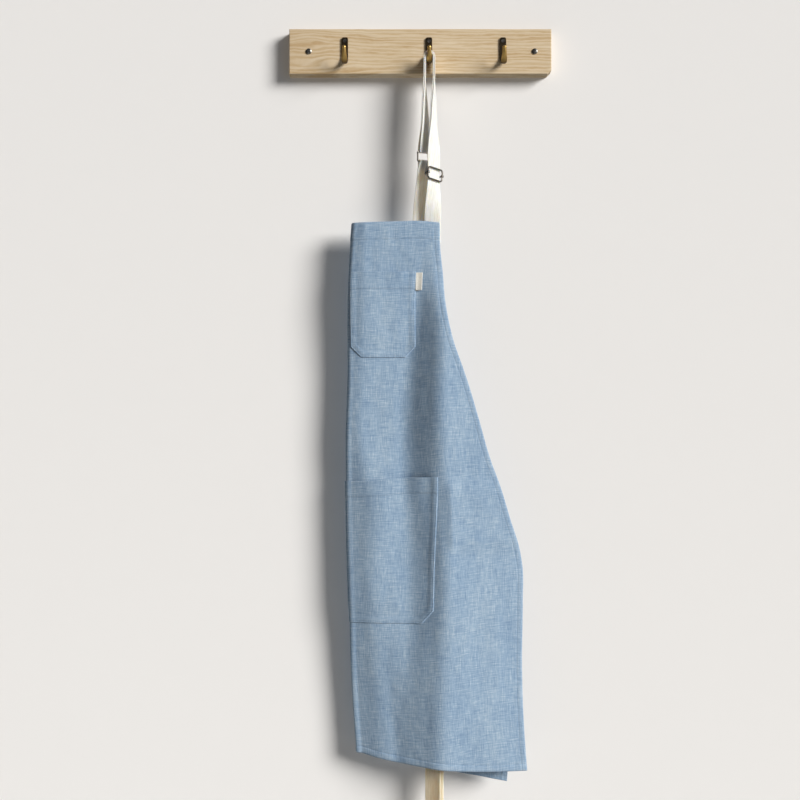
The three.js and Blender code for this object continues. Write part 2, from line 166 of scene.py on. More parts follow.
def tube(name, rings, flat, material):
    """A skin over rings of points, with a flat cap of its own points at each end."""
    count, sides = rings.shape[:2]
    verts, places = (
        np.concatenate([grid.reshape(-1, 3), grid[0], grid[-1]]) for grid in (rings, flat)
    )
    faces = grid_faces(count, sides, wrap=True)
    first = count * sides
    caps = [range(first + sides - 1, first - 1, -1), range(first + sides, first + 2 * sides)]
    flat_faces = range(len(faces), len(faces) + len(caps))
    return make_mesh(name, verts, faces + caps, material, places, flat_faces)


def thicken(obj, thickness, offset=-1):
    """Gives a sheet its thickness: all behind it, or half on each side with an offset of 0."""
    solid = obj.modifiers.new("cloth thickness", "SOLIDIFY")
    solid.thickness = thickness * MM
    solid.offset = offset
    solid.use_rim = True
    solid.use_even_offset = True
    return solid


# ---- materials ----
class Nodes:
    """A node tree: add() makes a node, wires its inputs and gives back one of its outputs."""

    def __init__(self, tree):
        self.tree = tree

    def put(self, node, key, value):
        if isinstance(value, bpy.types.NodeSocket):
            self.tree.links.new(value, node.inputs[key])
        else:
            node.inputs[key].default_value = value

    def make(self, kind, inputs=(), **settings):
        node = self.tree.nodes.new("ShaderNode" + kind)
        for key, value in settings.items():
            setattr(node, key, value)
        for key, value in dict(inputs).items():
            self.put(node, key, value)
        return node

    def add(self, kind, inputs=(), output=0, **settings):
        return self.make(kind, inputs, **settings).outputs[output]

    def axes(self, vector):
        return self.make("SeparateXYZ", {"Vector": vector}).outputs


class Shader(Nodes):
    """A material whose colour, roughness and bumps are made by nodes."""

    def __init__(self, name, **surface):
        self.material = bpy.data.materials.new(name)
        self.material.use_nodes = True
        super().__init__(self.material.node_tree)
        self.bsdf = self.tree.nodes["Principled BSDF"]
        for key, value in surface.items():
            self.put(self.bsdf, key.replace("_", " "), value)

    def object_place(self):
        return self.add("TexCoord", output="Object")

    def cloth_place(self):
        return self.add("Attribute", output="Vector", attribute_name=CLOTH_PLACE)

    def scaled(self, vector, scale):
        return self.add("Mapping", {"Vector": vector, "Scale": scale})

    def noise(self, vector, scale, detail=2.0, roughness=0.5, distortion=0.0):
        return self.add(
            "TexNoise",
            {"Vector": self.scaled(vector, scale), "Scale": 1.0, "Detail": detail,
             "Roughness": roughness, "Distortion": distortion},
        )

    def stripes(self, vector, direction, scale, **shape):
        """Soft bands that follow each other along X, Y or Z."""
        inputs = {key.replace("_", " "): value for key, value in shape.items()}
        inputs.update(Vector=vector, Scale=scale)
        return self.add("TexWave", inputs, output="Fac", bands_direction=direction)

    def math(self, operation, a, b, clamp=False):
        return self.add("Math", {0: a, 1: b}, operation=operation, use_clamp=clamp)

    def plus(self, a, b):
        return self.math("ADD", a, b)

    def minus(self, a, b):
        return self.math("SUBTRACT", a, b)

    def times(self, a, b, clamp=False):
        return self.math("MULTIPLY", a, b, clamp)

    def ramp(self, value, *stops):
        """A colour for each value, between stops of (position, colour)."""
        node = self.make("ValToRGB", {"Fac": value})
        elements = node.color_ramp.elements
        while len(elements) < len(stops):
            elements.new(0.5)
        for element, (position, colour) in zip(elements, stops):
            element.position = position
            element.color = (*colour, 1)
        return node.outputs["Color"]

    def mix(self, factor, a, b):
        """Colour a, turned into colour b by the factor."""
        node = self.make("Mix", {0: factor}, data_type="RGBA")
        sockets = [i for i, socket in enumerate(node.inputs) if socket.type == "RGBA"]
        for i, colour in zip(sockets, (a, b)):
            self.put(node, i, colour if isinstance(colour, bpy.types.NodeSocket) else (*colour, 1))
        return [socket for socket in node.outputs if socket.type == "RGBA"][0]

    def bump(self, height, distance, strength, **under):
        return self.add(
            "Bump", {"Height": height, "Distance": distance, "Strength": strength, **under}
        )

    def finish(self, colour, roughness, normal):
        for key, value in (("Base Color", colour), ("Roughness", roughness), ("Normal", normal)):
            self.put(self.bsdf, key, value)
        return self.material


def srgb(r, g, b):
    """A colour written as 0 to 255, as linear light."""
    def channel(c):
        c /= 255
        return c / 12.92 if c <= 0.04045 else ((c + 0.055) / 1.055) ** 2.4
    return tuple(channel(c) for c in (r, g, b))


def linen_material():
    """Chambray linen: blue warp and pale weft, both slubby, woven about eleven threads to the cm."""
    s = Shader("linen", Sheen_Weight=0.3, Sheen_Roughness=0.5, Specular_IOR_Level=0.2)
    at = s.cloth_place()
    warp = s.noise(at, (1150, 75, 1), detail=3, roughness=0.65)
    weft = s.noise(at, (75, 1150, 1), detail=3, roughness=0.65)
    warp_slub = s.noise(at, (640, 38, 1), detail=2, roughness=0.6)
    weft_slub = s.noise(at, (38, 560, 1), detail=2, roughness=0.6)
    threads = s.plus(s.times(warp, 0.5), s.times(weft, 0.5))
    slubs = s.plus(s.times(warp_slub, 0.5), s.times(weft_slub, 0.5))
    cloudy = s.minus(s.noise(at, (26, 9, 1), detail=3), 0.5)
    tone = s.plus(s.plus(s.times(threads, 0.55), s.times(slubs, 0.45)), s.times(cloudy, 0.12))
    colour = s.ramp(
        tone,
        (0.37, srgb(107, 136, 167)), (0.475, srgb(138, 162, 187)), (0.535, srgb(155, 177, 197)),
        (0.65, srgb(194, 208, 219)),
    )
    weave = s.bump(s.plus(s.stripes(at, "X", 360), s.stripes(at, "Y", 360)), 0.0001, 0.5)
    slubbed = s.bump(s.plus(slubs, s.times(threads, 0.6)), 0.0004, 0.4, Normal=weave)
    return s.finish(colour, s.plus(s.times(threads, 0.15), 0.78), slubbed)


def webbing_material(name, dark, middle, light, stained):
    """Cotton webbing: fine ribs along it, crossed by the weft."""
    s = Shader(
        name, Sheen_Weight=0.15, Specular_IOR_Level=0.25, Subsurface_Weight=0.7,
        Subsurface_Radius=(1.0, 0.75, 0.5), Subsurface_Scale=0.006,
    )
    at = s.cloth_place()
    ribs = s.stripes(at, "X", 300, Distortion=0.4, Detail=1, Detail_Scale=2)
    picks = s.stripes(at, "Y", 210, Distortion=0.5, Detail=1, Detail_Scale=2)
    yarn = s.noise(at, (700, 60, 700), detail=3, roughness=0.6)
    stain = s.noise(at, (40, 18, 40), detail=2)
    colour = s.ramp(yarn, (0.3, dark), (0.5, middle), (0.7, light))
    colour = s.mix(s.times(stain, 0.15), colour, stained)
    height = s.plus(s.times(ribs, 0.6), s.times(picks, 0.4))
    normal = s.bump(s.plus(height, s.times(yarn, 0.6)), 0.00022, 0.7)
    return s.finish(colour, s.plus(s.times(yarn, 0.1), 0.82), normal)


def thread_material(name, colour):
    s = Shader(name, Specular_IOR_Level=0.35)
    twist = s.noise(s.object_place(), (2600, 2600, 2600), detail=1)
    shade = s.mix(twist, tuple(c * 0.8 for c in colour), tuple(min(c * 1.15, 1) for c in colour))
    return s.finish(shade, 0.6, s.bump(twist, 0.00015, 0.6))


KNOTS = ((-0.168, 0.010), (-0.186, -0.016), (-0.140, -0.020))        # x and z on the rail, in metres


def wood_material():
    """Pale oiled wood, its grain along the rail, with knots near the left end."""
    s = Shader("rail wood", Specular_IOR_Level=0.35)
    x, y, z = s.axes(s.object_place())
    lift = 0.0
    for knot_x, knot_z in KNOTS:
        dx, dz = s.minus(x, knot_x), s.minus(z, knot_z)
        far = s.plus(s.math("POWER", s.times(dx, 42), 2), s.math("POWER", s.times(dz, 85), 2))
        near = s.math("DIVIDE", 1.0, s.plus(far, 1.0))
        lift = s.plus(lift, s.times(near, s.times(dz, 0.9)))
    bent = s.add("CombineXYZ", {"X": x, "Y": y, "Z": s.minus(z, lift)})
    waves = s.noise(bent, (7, 40, 75), detail=4, roughness=0.6, distortion=0.9)
    lines = s.stripes(
        s.scaled(bent, (0.55, 1.2, 5.0)), "Z", 13, Distortion=9.0, Detail=4, Detail_Scale=1.6,
        Detail_Roughness=0.65,
    )
    pores = s.noise(bent, (70, 700, 1500), detail=3, roughness=0.7)
    grain = s.plus(s.times(waves, 0.72), s.times(lines, 0.28))
    colour = s.ramp(
        grain, (0.26, srgb(189, 158, 116)), (0.42, srgb(207, 184, 148)), (0.6, srgb(217, 197, 166)),
        (0.8, srgb(226, 209, 181)),
    )
    colour = s.mix(s.times(pores, 0.35), colour, srgb(184, 158, 120))
    left_end = s.times(s.minus(-0.12, x), 9.0, clamp=True)
    colour = s.mix(s.times(left_end, 0.3), colour, srgb(160, 130, 92))
    normal = s.bump(s.plus(grain, s.times(pores, 0.8)), 0.0004, 0.5)
    return s.finish(colour, s.plus(s.times(pores, 0.2), 0.5), normal)


def steel_material(name, dark, bright, roughness):
    """Steel with a dark patina that is rubbed bright in patches."""
    s = Shader(name, Metallic=1.0)
    at = s.object_place()
    patches = s.noise(at, (260, 260, 260), detail=4, roughness=0.65)
    fine = s.noise(at, (1900, 1900, 1900), detail=2)
    bright_share = s.ramp(patches, (0.42, (0, 0, 0)), (0.64, (1, 1, 1)))
    colour = s.mix(s.times(fine, 0.25), s.mix(bright_share, dark, bright), dark)
    rough = s.plus(s.times(fine, 0.22), roughness)
    return s.finish(colour, rough, s.bump(s.plus(patches, fine), 0.00018, 0.35))


def brass_material():
    """Antique brass: dark brown on the plate, and golden on the front of the arm, which is partly rubbed
    wear and partly a painted highlight.
    """
    s = Shader("antique brass", Metallic=1.0)
    at = s.object_place()
    patches = s.noise(at, (170, 170, 170), detail=4, roughness=0.6)
    fine = s.noise(at, (1500, 1500, 1500), detail=2)
    # golden towards the front of the arm: partly rubbed wear, partly a painted highlight where the light
    # catches it; the patches add wear at random
    front = s.times(s.minus(-0.036, s.axes(at)["Y"]), 45.0, clamp=True)
    bright_share = s.plus(s.times(front, 0.75), s.times(patches, 0.3))
    colour = s.ramp(
        bright_share, (0.12, srgb(62, 55, 46)), (0.4, srgb(104, 80, 46)), (0.8, srgb(222, 184, 112)),
    )
    colour = s.mix(s.times(fine, 0.2), colour, srgb(70, 52, 32))
    rough = s.plus(s.times(patches, 0.2), 0.3)
    return s.finish(colour, rough, s.bump(s.plus(patches, fine), 0.00012, 0.3))


def label_material():
    s = Shader("label tape", Specular_IOR_Level=0.3)
    at = s.cloth_place()
    weave = s.noise(at, (2400, 500, 1), detail=2)
    colour = s.ramp(weave, (0.3, srgb(222, 218, 206)), (0.7, srgb(244, 242, 234)))
    return s.finish(colour, 0.75, s.bump(s.plus(weave, s.stripes(at, "Y", 620)), 0.00012, 0.6))


LINEN = linen_material()
WEBBING = webbing_material(
    "cotton webbing", srgb(224, 216, 202), srgb(240, 234, 224), srgb(247, 243, 236), srgb(230, 214, 192),
)
# The ties' webbing is warmer and a little darker than the neck strap's.
TIE_WEBBING = webbing_material(
    "tie webbing", srgb(214, 197, 170), srgb(226, 211, 187), srgb(234, 222, 202), srgb(218, 199, 168),
)
BLUE_THREAD = thread_material("blue thread", srgb(134, 158, 183))
PALE_THREAD = thread_material("cream thread", srgb(236, 230, 212))
WOOD = wood_material()
BRASS = brass_material()
DARK_STEEL = steel_material("dark steel", srgb(88, 82, 76), srgb(150, 146, 140), 0.24)
STEEL = steel_material("screw steel", srgb(104, 102, 98), srgb(160, 158, 154), 0.26)
LABEL_TAPE = label_material()


# ---- stitching ----
# The profile's rows: how far along the stitch, how thick, and how far out of the cloth.
STITCH = {
    "pitch": 3.4, "length": 2.5, "thick": 0.5, "sides": 6,
    "profile": ((0, 0.3, -0.45), (0.22, 0.9, 0.1), (0.5, 1.0, 0.3), (0.78, 0.9, 0.1), (1, 0.3, -0.45)),
}


def stitches(name, lines, material=BLUE_THREAD, body="apron"):
    """Threads sewn along lines, each a row of points and the directions out of the cloth."""
    length, thick = STITCH["length"], STITCH["thick"]
    angles = np.arange(STITCH["sides"]) * 2 * math.pi / STITCH["sides"]
    threads = []
    for points, normals in lines:
        travel = lengths_along(points)

        def row_at(rows, place):
            return np.array([np.interp(place, travel, rows[:, k]) for k in range(3)])

        for start in np.arange(STITCH["pitch"] / 2, travel[-1] - length, STITCH["pitch"]):
            begin, end = row_at(points, start), row_at(points, start + length)
            out = unit(row_at(normals, start))
            side = np.cross(unit(end - begin), out)
            rings = []
            for share, fat, lift in STITCH["profile"]:
                centre = begin + (end - begin) * share + out * lift * thick
                rings.append([
                    centre + (side * math.cos(a) + out * math.sin(a)) * thick / 2 * fat for a in angles
                ])
            threads.append((rings, False))
    piece = merged(name, threads, material)
    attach(piece, body)


# ---- camera ----
# middle and height are x and z, width is what the view takes in at the rail, and up is in degrees.
VIEW = {"middle": -31.0, "distance": 2100.0, "width": 1212.0, "height": -583.0, "up": 1.4}


def make_camera():
    """Level with the apron's middle and pitched up a little, two metres from the rail's front."""
    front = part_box("rail_board")[0].y
    camera = bpy.data.cameras.new("camera")
    camera.sensor_width = 36
    camera.lens = camera.sensor_width * VIEW["distance"] / VIEW["width"]
    obj = linked("camera", camera)
    obj.location = (VIEW["middle"] * MM, front - VIEW["distance"] * MM, VIEW["height"] * MM)
    obj.rotation_euler = (math.radians(90 + VIEW["up"]), 0, 0)
    bpy.context.scene.camera = obj


make_camera()


# ---- webbing ----
# layers is the distance between the middles of two layers that lie together.
STRAP = {"width": 25.0, "thickness": 1.6, "layers": 2.1}


def webbing_section(width):
    """The outline of the tape: two faces and two rounded selvedges, as (across, out)."""
    half, deep = width / 2, STRAP["thickness"] / 2
    line = np.linspace(-1, 1, 9) * (half - deep)
    round_edge = [(math.cos(a), math.sin(a)) for a in np.radians([60, 30, 0, -30, -60])]
    right = [(half - deep + deep * c, deep * s) for c, s in round_edge]
    front = [(a, deep) for a in line]
    back = [(a, -deep) for a in line[::-1]]
    left = [(-a, -o) for a, o in right]
    return np.array(front + right + back + left)


def webbing(
    name, nodes, at, face, seed, width=STRAP["width"], ripple=0.25, bow=0.0, sink=0.0, layers=1.0,
    material=WEBBING,
):
    """Tape that follows points, its face looking along face, in place of CAD nodes. bow is how far
    its middle stands out, sink how far it hangs down, and layers how thick it is at each point."""
    face = unit(face)
    across = unit(np.cross(np.gradient(at, axis=0), face))
    out = unit(np.cross(across, unit(np.gradient(at, axis=0))))
    section = webbing_section(width)
    travel = lengths_along(at)
    bow, sink, layers = (np.broadcast_to(v, len(at)) for v in (bow, sink, layers))
    rings, flats = [], []
    for i in range(len(at)):
        swell = ripple * np.array([
            noise.noise(Vector((a / 14, travel[i] / 22, seed * 3.7))) for a, _ in section
        ])
        middle = 1 - (2 * section[:, 0] / width) ** 2
        lift = section[:, 1] * layers[i] + swell + bow[i] * middle
        ring = at[i] + section[:, :1] * across[i] + lift[:, None] * out[i]
        ring[:, 2] -= sink[i] * middle
        rings.append(ring)
        flats.append(np.column_stack([section[:, 0], np.full(len(section), travel[i]), section[:, 1]]))
    piece = tube(name, np.array(rings), np.array(flats), material)
    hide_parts(*nodes)
    return piece


def drops_between(start, end, step=3.0):
    return np.linspace(start, end, max(int(abs(end - start) / step), 2) + 1)


# ---- waist ties ----
# Each is sewn inside its waist corner, tucked in between the two halves, and hangs straight down.
# corner and turn_at are x; the tucked part is a cubic curve from the corner to z = gathered. Below
# z = free each tie moves towards the wall by its `back`, and sways and turns a little.
TIES = {
    "front": {
        "y": -44.9, "corner": 132, "turn_at": 19, "twist": 27, "bow": -1.3, "back": 0.0, "seed": 31,
    },
    "back": {
        "y": -42.1, "corner": 104, "turn_at": 23, "twist": 2, "bow": 0.5, "back": 4.6, "seed": 32,
    },
}
TIE = {
    "corner_z": -796, "inwards": 70, "sag": 18, "turn": 110, "gathered": -985, "end": -1559,
    "free": -1000, "hem": 13, "sway": 1.2, "turning": 4,
}


def waist_tie(side, spec):
    """A free tape, from the inside of the waist corner to its hemmed end."""
    corner, turn_at = spec["corner"], spec["turn_at"]
    knots = np.array([
        (corner, TIE["corner_z"]), (corner - TIE["inwards"], TIE["corner_z"] - TIE["sag"]),
        (turn_at, TIE["gathered"] + TIE["turn"]), (turn_at, TIE["gathered"]),
    ], float)
    t = np.linspace(0, 1, 60)[:, None]
    tucked = sum(math.comb(3, k) * t ** k * (1 - t) ** (3 - k) * knots[k] for k in range(4))
    down = -drops_between(-TIE["gathered"], -TIE["end"], 4)[1:]
    x, z = np.concatenate([tucked, np.column_stack([np.full(len(down), turn_at), down])]).T
    free = smooth(-z, -TIE["free"], -TIE["free"] + 85)
    sway = TIE["sway"] * np.sin((z - TIE["gathered"]) / 95) * free
    at = np.column_stack([x + sway, np.full(len(x), spec["y"]) + spec["back"] * free, z])
    turn = np.radians(spec["twist"] * smooth(-z, 975, 1062) + TIE["turning"] * np.sin(z / 70) * free)
    face = np.column_stack([-np.sin(turn), -np.cos(turn), np.zeros(len(x))])
    hem = 1 + 0.8 * smooth(-z, -TIE["end"] - TIE["hem"] - 2, -TIE["end"] - TIE["hem"])
    piece = webbing(
        f"waist_tie_{side}", (f"waist_tie_{side}_tucked", f"waist_tie_{side}_hanging"), at, face,
        spec["seed"], bow=spec["bow"] * free, layers=hem, material=TIE_WEBBING,
    )
    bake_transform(piece)


for tie_side, tie_spec in TIES.items():
    waist_tie(tie_side, tie_spec)


# ---- neck strap ----
# Each leg of the neck strap hangs from the hook edge-on and turns flat on its way down.
# Columns: drop below the rail's axis, x, y, degrees that its face is turned from the front.
LEFT_LEG = (
    (42, 6.2, -40.3, 90), (58, 6.2, -40.4, 85), (78, 6.5, -40.6, 77), (123, 7.2, -40.8, 60),
    (155, 7.9, -40.2, 32), (320, 7.9, -40.2, 32),
)
RIGHT_LEG = (
    (42, 20.2, -40.3, 90), (58, 20.2, -41, 85), (78, 20, -42.4, 77), (123, 19.2, -45.4, 63),
    (155, 19.2, -47.8, 43), (200, 19, -47.8, 43), (228, 18.6, -47.2, 26), (250, 18.2, -46.7, 4),
    (262, 18, -46.7, 0), (300, 18, -46.7, 0),
)
BACK_STRAP = (
    (178, 6.6, -40.2, 32), (210, 4.2, -40, 24), (240, 1.8, -39.5, 5), (262, 0.4, -39.4, 0),
    (300, 0.4, -39.4, 0),
)
HALF_PAIR = STRAP["layers"] / 2
WIRE = 2.5
TURN_RADIUS = WIRE / 2 + 0.3 + STRAP["thickness"] / 2 + 0.2     # of the strap's middle, round a wire


def leg_points(leg, drops, offset=0.0):
    """Points and facing of a strap layer, offset from the middle of its pair."""
    rows = table(leg, drops)
    turn = np.radians(rows[..., 2])
    face = np.stack([np.sin(turn), -np.cos(turn), np.zeros_like(turn)], -1)
    at = np.stack([rows[..., 0], rows[..., 1], -np.asarray(drops, float)], -1)
    return at + face * np.asarray(offset, float)[..., None], face


def half_turn(at, face, radius, down=(0, 0, -1.0)):
    """Points round a bar, from the front layer to the back layer, past the side that down says."""
    angle = np.linspace(0, math.pi, 14)[:, None]
    out = np.cos(angle) * face + np.sin(angle) * np.array(down)
    return at + out * radius, out


SADDLE = {"x": 13.2, "y": -40.3, "inner": 5.2, "crown": -8.8, "sink": 6.0, "lower": 75.0}


def over_hook(name, nodes, inner, left_offset, right_offset, seed):
    """A layer of the neck strap from its left leg, over the hook, to its right leg."""
    middle = np.array([SADDLE["x"], SADDLE["y"], SADDLE["crown"] - SADDLE["inner"]])
    drops = drops_between(SADDLE["lower"], SADDLE["inner"] - SADDLE["crown"] + 3)
    left, left_face = leg_points(LEFT_LEG, drops, left_offset)
    angle = np.linspace(math.pi, 0, 22)[:, None]
    out = np.cos(angle) * np.array([1.0, 0, 0]) + np.sin(angle) * np.array([0, 0, 1.0])
    arch = middle + out * (inner + STRAP["thickness"] / 2)
    right, right_face = leg_points(RIGHT_LEG, drops[::-1], right_offset)
    at = np.concatenate([left, arch, right])
    face = np.concatenate([-left_face, out, right_face])
    # its middle sinks into the hook's dip
    sink = SADDLE["sink"] * smooth(at[:, 2], -24, SADDLE["crown"])
    piece = webbing(name, nodes, at, face, seed, width=24.6, ripple=0.15, sink=sink)
    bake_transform(piece)


def round_ring():
    """Down the left leg's front layer, round the ring's upper bar and back up."""
    bar_drop = -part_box("ring")[1].z / MM + WIRE / 2
    drops = drops_between(SADDLE["lower"], bar_drop)
    opening = smooth((drops - drops[0]) / (drops[-1] - drops[0]), 0.6, 1)
    opened = HALF_PAIR + (TURN_RADIUS - HALF_PAIR) * opening
    front, face = leg_points(LEFT_LEG, drops, opened)
    back, _ = leg_points(LEFT_LEG, drops, -opened)
    bar, bar_face = leg_points(LEFT_LEG, np.array([bar_drop]))
    turn, turn_face = half_turn(bar[0], bar_face[0], TURN_RADIUS)
    at = np.concatenate([front, turn[1:-1], back[::-1]])
    return at, np.concatenate([face, turn_face[1:-1], -face[::-1]])


def neck_strap():
    over_hook(
        "neck_strap_over_hook_inner",
        ("neck_strap_saddle_inner", "neck_strap_top_left_front", "neck_strap_top_right_back"),
        SADDLE["inner"], HALF_PAIR, -HALF_PAIR, 3,
    )
    over_hook(
        "neck_strap_over_hook_outer",
        ("neck_strap_saddle_outer", "neck_strap_top_left_back", "neck_strap_top_right_front"),
        SADDLE["inner"] + STRAP["layers"], -HALF_PAIR, HALF_PAIR, 4,
    )
    # the right leg's front layer goes through the slider to the bib, its back layer is the strap's end
    lower = SADDLE["lower"]
    legs = {
        "neck_strap_left_leg": round_ring(),
        "neck_strap_front_run": leg_points(RIGHT_LEG, drops_between(lower, 298), HALF_PAIR),
        "neck_strap_end_run": leg_points(RIGHT_LEG, drops_between(lower, 130), -HALF_PAIR),
    }
    for seed, (name, (at, face)) in enumerate(legs.items(), 5):
        piece = webbing(name, (name,), at, face, seed)
        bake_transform(piece)


neck_strap()


# ---- ring and slider ----
# width, height and corner are of the wire's outline; forward is how far it stands out from `at`.
RING = {
    "at": (7.9, -40.2, -165.0), "turn": 32, "roll": 0, "forward": 0.0,
    "width": 31.5, "height": 19.0, "corner": 3.0,
}
SLIDER = {
    "at": (19.0, -47.8, -193.0), "turn": 43, "roll": 7, "forward": 4.3,
    "width": 31.5, "height": 20.0, "corner": 4.0,
}
BAR = {"bow": 8.05, "sleeve": 2.3, "sleeve_height": 3.2}
SEWN_END = {"up": 14.0, "ring": 11.0, "width": 24.0, "stitched": 19.0}


def placed(spec, local, direction=False):
    """Points or directions of a buckle's own frame: x across it, y towards the wall, z up."""
    turn, roll = math.radians(spec["turn"]), math.radians(spec["roll"])
    x, y, z = np.moveaxis(np.asarray(local, float), -1, 0)
    x, z = x * math.cos(roll) + z * math.sin(roll), z * math.cos(roll) - x * math.sin(roll)
    sine, cosine = math.sin(turn), math.cos(turn)
    world = np.stack([x * cosine - y * sine, x * sine + y * cosine, z], -1)
    if direction:
        return world
    return world + np.array(spec["at"]) + spec["forward"] * np.array([sine, -cosine, 0])


def wire_rings(line, closed):
    """Round sections along a line of points in a buckle's own frame."""
    ahead, behind = np.roll(line, -1, 0), np.roll(line, 1, 0)
    if not closed:
        ahead[-1], behind[0] = line[-1], line[0]
    run = unit(ahead - behind)
    steady = np.array([0, 1.0, 0]) if closed else np.array([0, 0, 1.0])
    side = unit(np.cross(run, steady))
    other = np.cross(side, run)
    angle = np.linspace(0, 2 * math.pi, 20, endpoint=False)[None, :, None]
    out = np.cos(angle) * side[:, None] + np.sin(angle) * other[:, None]
    return line[:, None] + WIRE / 2 * out


def wire_frame(spec):
    """A rounded rectangle of wire."""
    half_x, half_z = (spec["width"] - WIRE) / 2, (spec["height"] - WIRE) / 2
    corner = spec["corner"]
    line = []
    for quarter in range(4):
        angles = np.radians(np.linspace(90 * quarter, 90 * quarter + 90, 9))
        middle_x = (half_x - corner) * (1 if quarter in (0, 3) else -1)
        middle_z = (half_z - corner) * (1 if quarter in (0, 1) else -1)
        line += [(middle_x + corner * math.cos(a), 0, middle_z + corner * math.sin(a)) for a in angles]
    return placed(spec, wire_rings(np.array(line), closed=True))


def centre_bar():
    """The slider's bar: an eye round each side of the frame, and a bow behind the strap."""
    reach, bow = (SLIDER["width"] - WIRE) / 2, BAR["bow"]
    knots = ((0, -reach, 1.6), (1, -reach, bow * 0.62), (2, -reach + 1.0, bow * 0.9),
             (3, -reach + 3, bow), (5, reach - 3, bow), (6, reach - 1.0, bow * 0.9),
             (7, reach, bow * 0.62), (8, reach, 1.6))
    x, y = table(knots, np.linspace(0, 8, 49)).T
    line = np.column_stack([x, y, np.zeros(len(x))])
    tubes = [(placed(SLIDER, wire_rings(line, closed=False)), False)]
    inner, outer, high = WIRE / 2 + 0.3, BAR["sleeve"], BAR["sleeve_height"] / 2
    profile = ((inner, -high), (outer - 0.3, -high), (outer, -high + 0.3), (outer, high - 0.3),
               (outer - 0.3, high), (inner, high))
    for side in (-1, 1):
        rings = [
            [(side * reach + r * math.cos(a), r * math.sin(a), z) for r, z in profile]
            for a in np.linspace(0, 2 * math.pi, 28, endpoint=False)
        ]
        tubes.append((placed(SLIDER, rings), True))
    return tubes


def buckles():
    for name, node, body, tubes in (
        ("strap_ring", "ring", "apron", [(wire_frame(RING), True)]),
        ("slider_wire_frame", "slider_frame", "slider", [(wire_frame(SLIDER), True)]),
        ("slider_bowed_bar", "slider_centre_bar", "slider", centre_bar()),
    ):
        stands_for(merged(name, tubes, DARK_STEEL), body, "dark_steel", node)


def end_round_bar():
    """The strap's end, which goes down to the slider's bar and is sewn in a loop round it."""
    bar = placed(SLIDER, (0, BAR["bow"], 0))
    face, side, up = (
        placed(SLIDER, axis, direction=True) for axis in ((0, -1, 0), (1, 0, 0), (0, 0, 1))
    )
    reach = 16.0
    drops = drops_between(128, -bar[2] - reach)
    leg, leg_face = leg_points(RIGHT_LEG, drops, -HALF_PAIR)
    start = bar + face * TURN_RADIUS + up * reach
    leg = leg + (start - leg[-1]) * smooth(drops, 145, drops[-1])[:, None]
    down = start - up * np.linspace(0, reach, 7)[1:-1, None]
    turn, turn_face = half_turn(bar, face, TURN_RADIUS, down=-up)
    back = bar - face * TURN_RADIUS + up * np.linspace(0, SEWN_END["up"], 7)[1:, None]
    faces = [leg_face, np.tile(face, (len(down), 1)), turn_face, np.tile(-face, (len(back), 1))]
    end = webbing(
        "neck_strap_end_round_bar", ("neck_strap_sewn_end",),
        np.concatenate([leg, down, turn, back]), np.concatenate(faces), 8,
        width=SEWN_END["width"], ripple=0.12,
    )
    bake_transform(end)
    sewn = placed(SLIDER, (0, BAR["bow"] + TURN_RADIUS, SEWN_END["up"] - 3))
    half = SEWN_END["stitched"] / 2
    line = sewn - face * 0.7 + side * np.linspace(-half, half, 12)[:, None]
    stitches(
        "sewn_end_stitches", [(line, np.tile(-face, (12, 1)))], PALE_THREAD, "slider"
    )


def short_strap():
    """The short strap, from its end behind the ring, round the ring's lower bar and down to the bib."""
    face = placed(RING, (0, -1, 0), direction=True)
    bar = placed(RING, (0, 0, -(RING["height"] - WIRE) / 2))
    tail = bar - face * TURN_RADIUS
    tail = tail - np.array([0, 0, 1.0]) * np.linspace(SEWN_END["ring"], 0, 6)[:-1, None]
    over, over_face = half_turn(bar, face, TURN_RADIUS, down=(0, 0, 1.0))
    run, run_face = leg_points(BACK_STRAP, drops_between(184, 298)[1:])
    strap = webbing(
        "back_strap_round_ring", ("back_strap",), np.concatenate([tail, over[::-1], run]),
        np.concatenate([np.tile(-face, (len(tail), 1)), over_face[::-1], run_face]), 9,
    )
    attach(strap, "apron")


buckles()
end_round_bar()
short_strap()


# ---- the apron's outline as it hangs ----
# Rows of height and x, or of x and height.
FOLD_EDGE = (
    (-1112, -94), (-1057, -96.8), (-991, -101.6), (-942, -104.5), (-831, -107.5), (-771, -109.6),
    (-673, -111.7), (-592, -113), (-502, -110.3), (-371, -109.9), (-327, -108.1), (-262, -103.7),
)
FRONT_EDGE = (
    (-1112, 159.5), (-1081, 157.3), (-1003, 152.1), (-927, 150.2), (-831, 151.5), (-780, 151.2),
    (-752, 146.4), (-710, 133.1), (-655, 116.1), (-624, 104.6), (-555, 84.5), (-502, 68.6),
    (-482, 61.7), (-448, 49.7), (-413, 41.1), (-380, 36), (-345, 33.4), (-302, 29.1), (-262, 28.2),
)
BACK_INSET = ((-1112, 31), (-1087, 27), (-780, 14), (-500, 9), (-262, 4))
TOP_EDGE = ((-104, -266.2), (-32, -264.3), (-1, -263.7), (29, -266.2))
FRONT_HEM = (
    (-97, -1058.5), (-80, -1063), (-43, -1070.4), (5, -1076), (30, -1078.5), (81, -1081.6),
    (158, -1081.6),
)
BACK_HEM = (
    (-97, -1058.5), (-43, -1068), (5, -1078), (31, -1082.9), (55, -1090.6), (85, -1095.6),
    (129, -1103.4),
)
CLOTH = {"thickness": 0.9, "hem": 2.2, "bend": 8.5, "middle": -43.5}
HEM = {"top": 27.0, "bottom": 10.0, "side": 8.0}

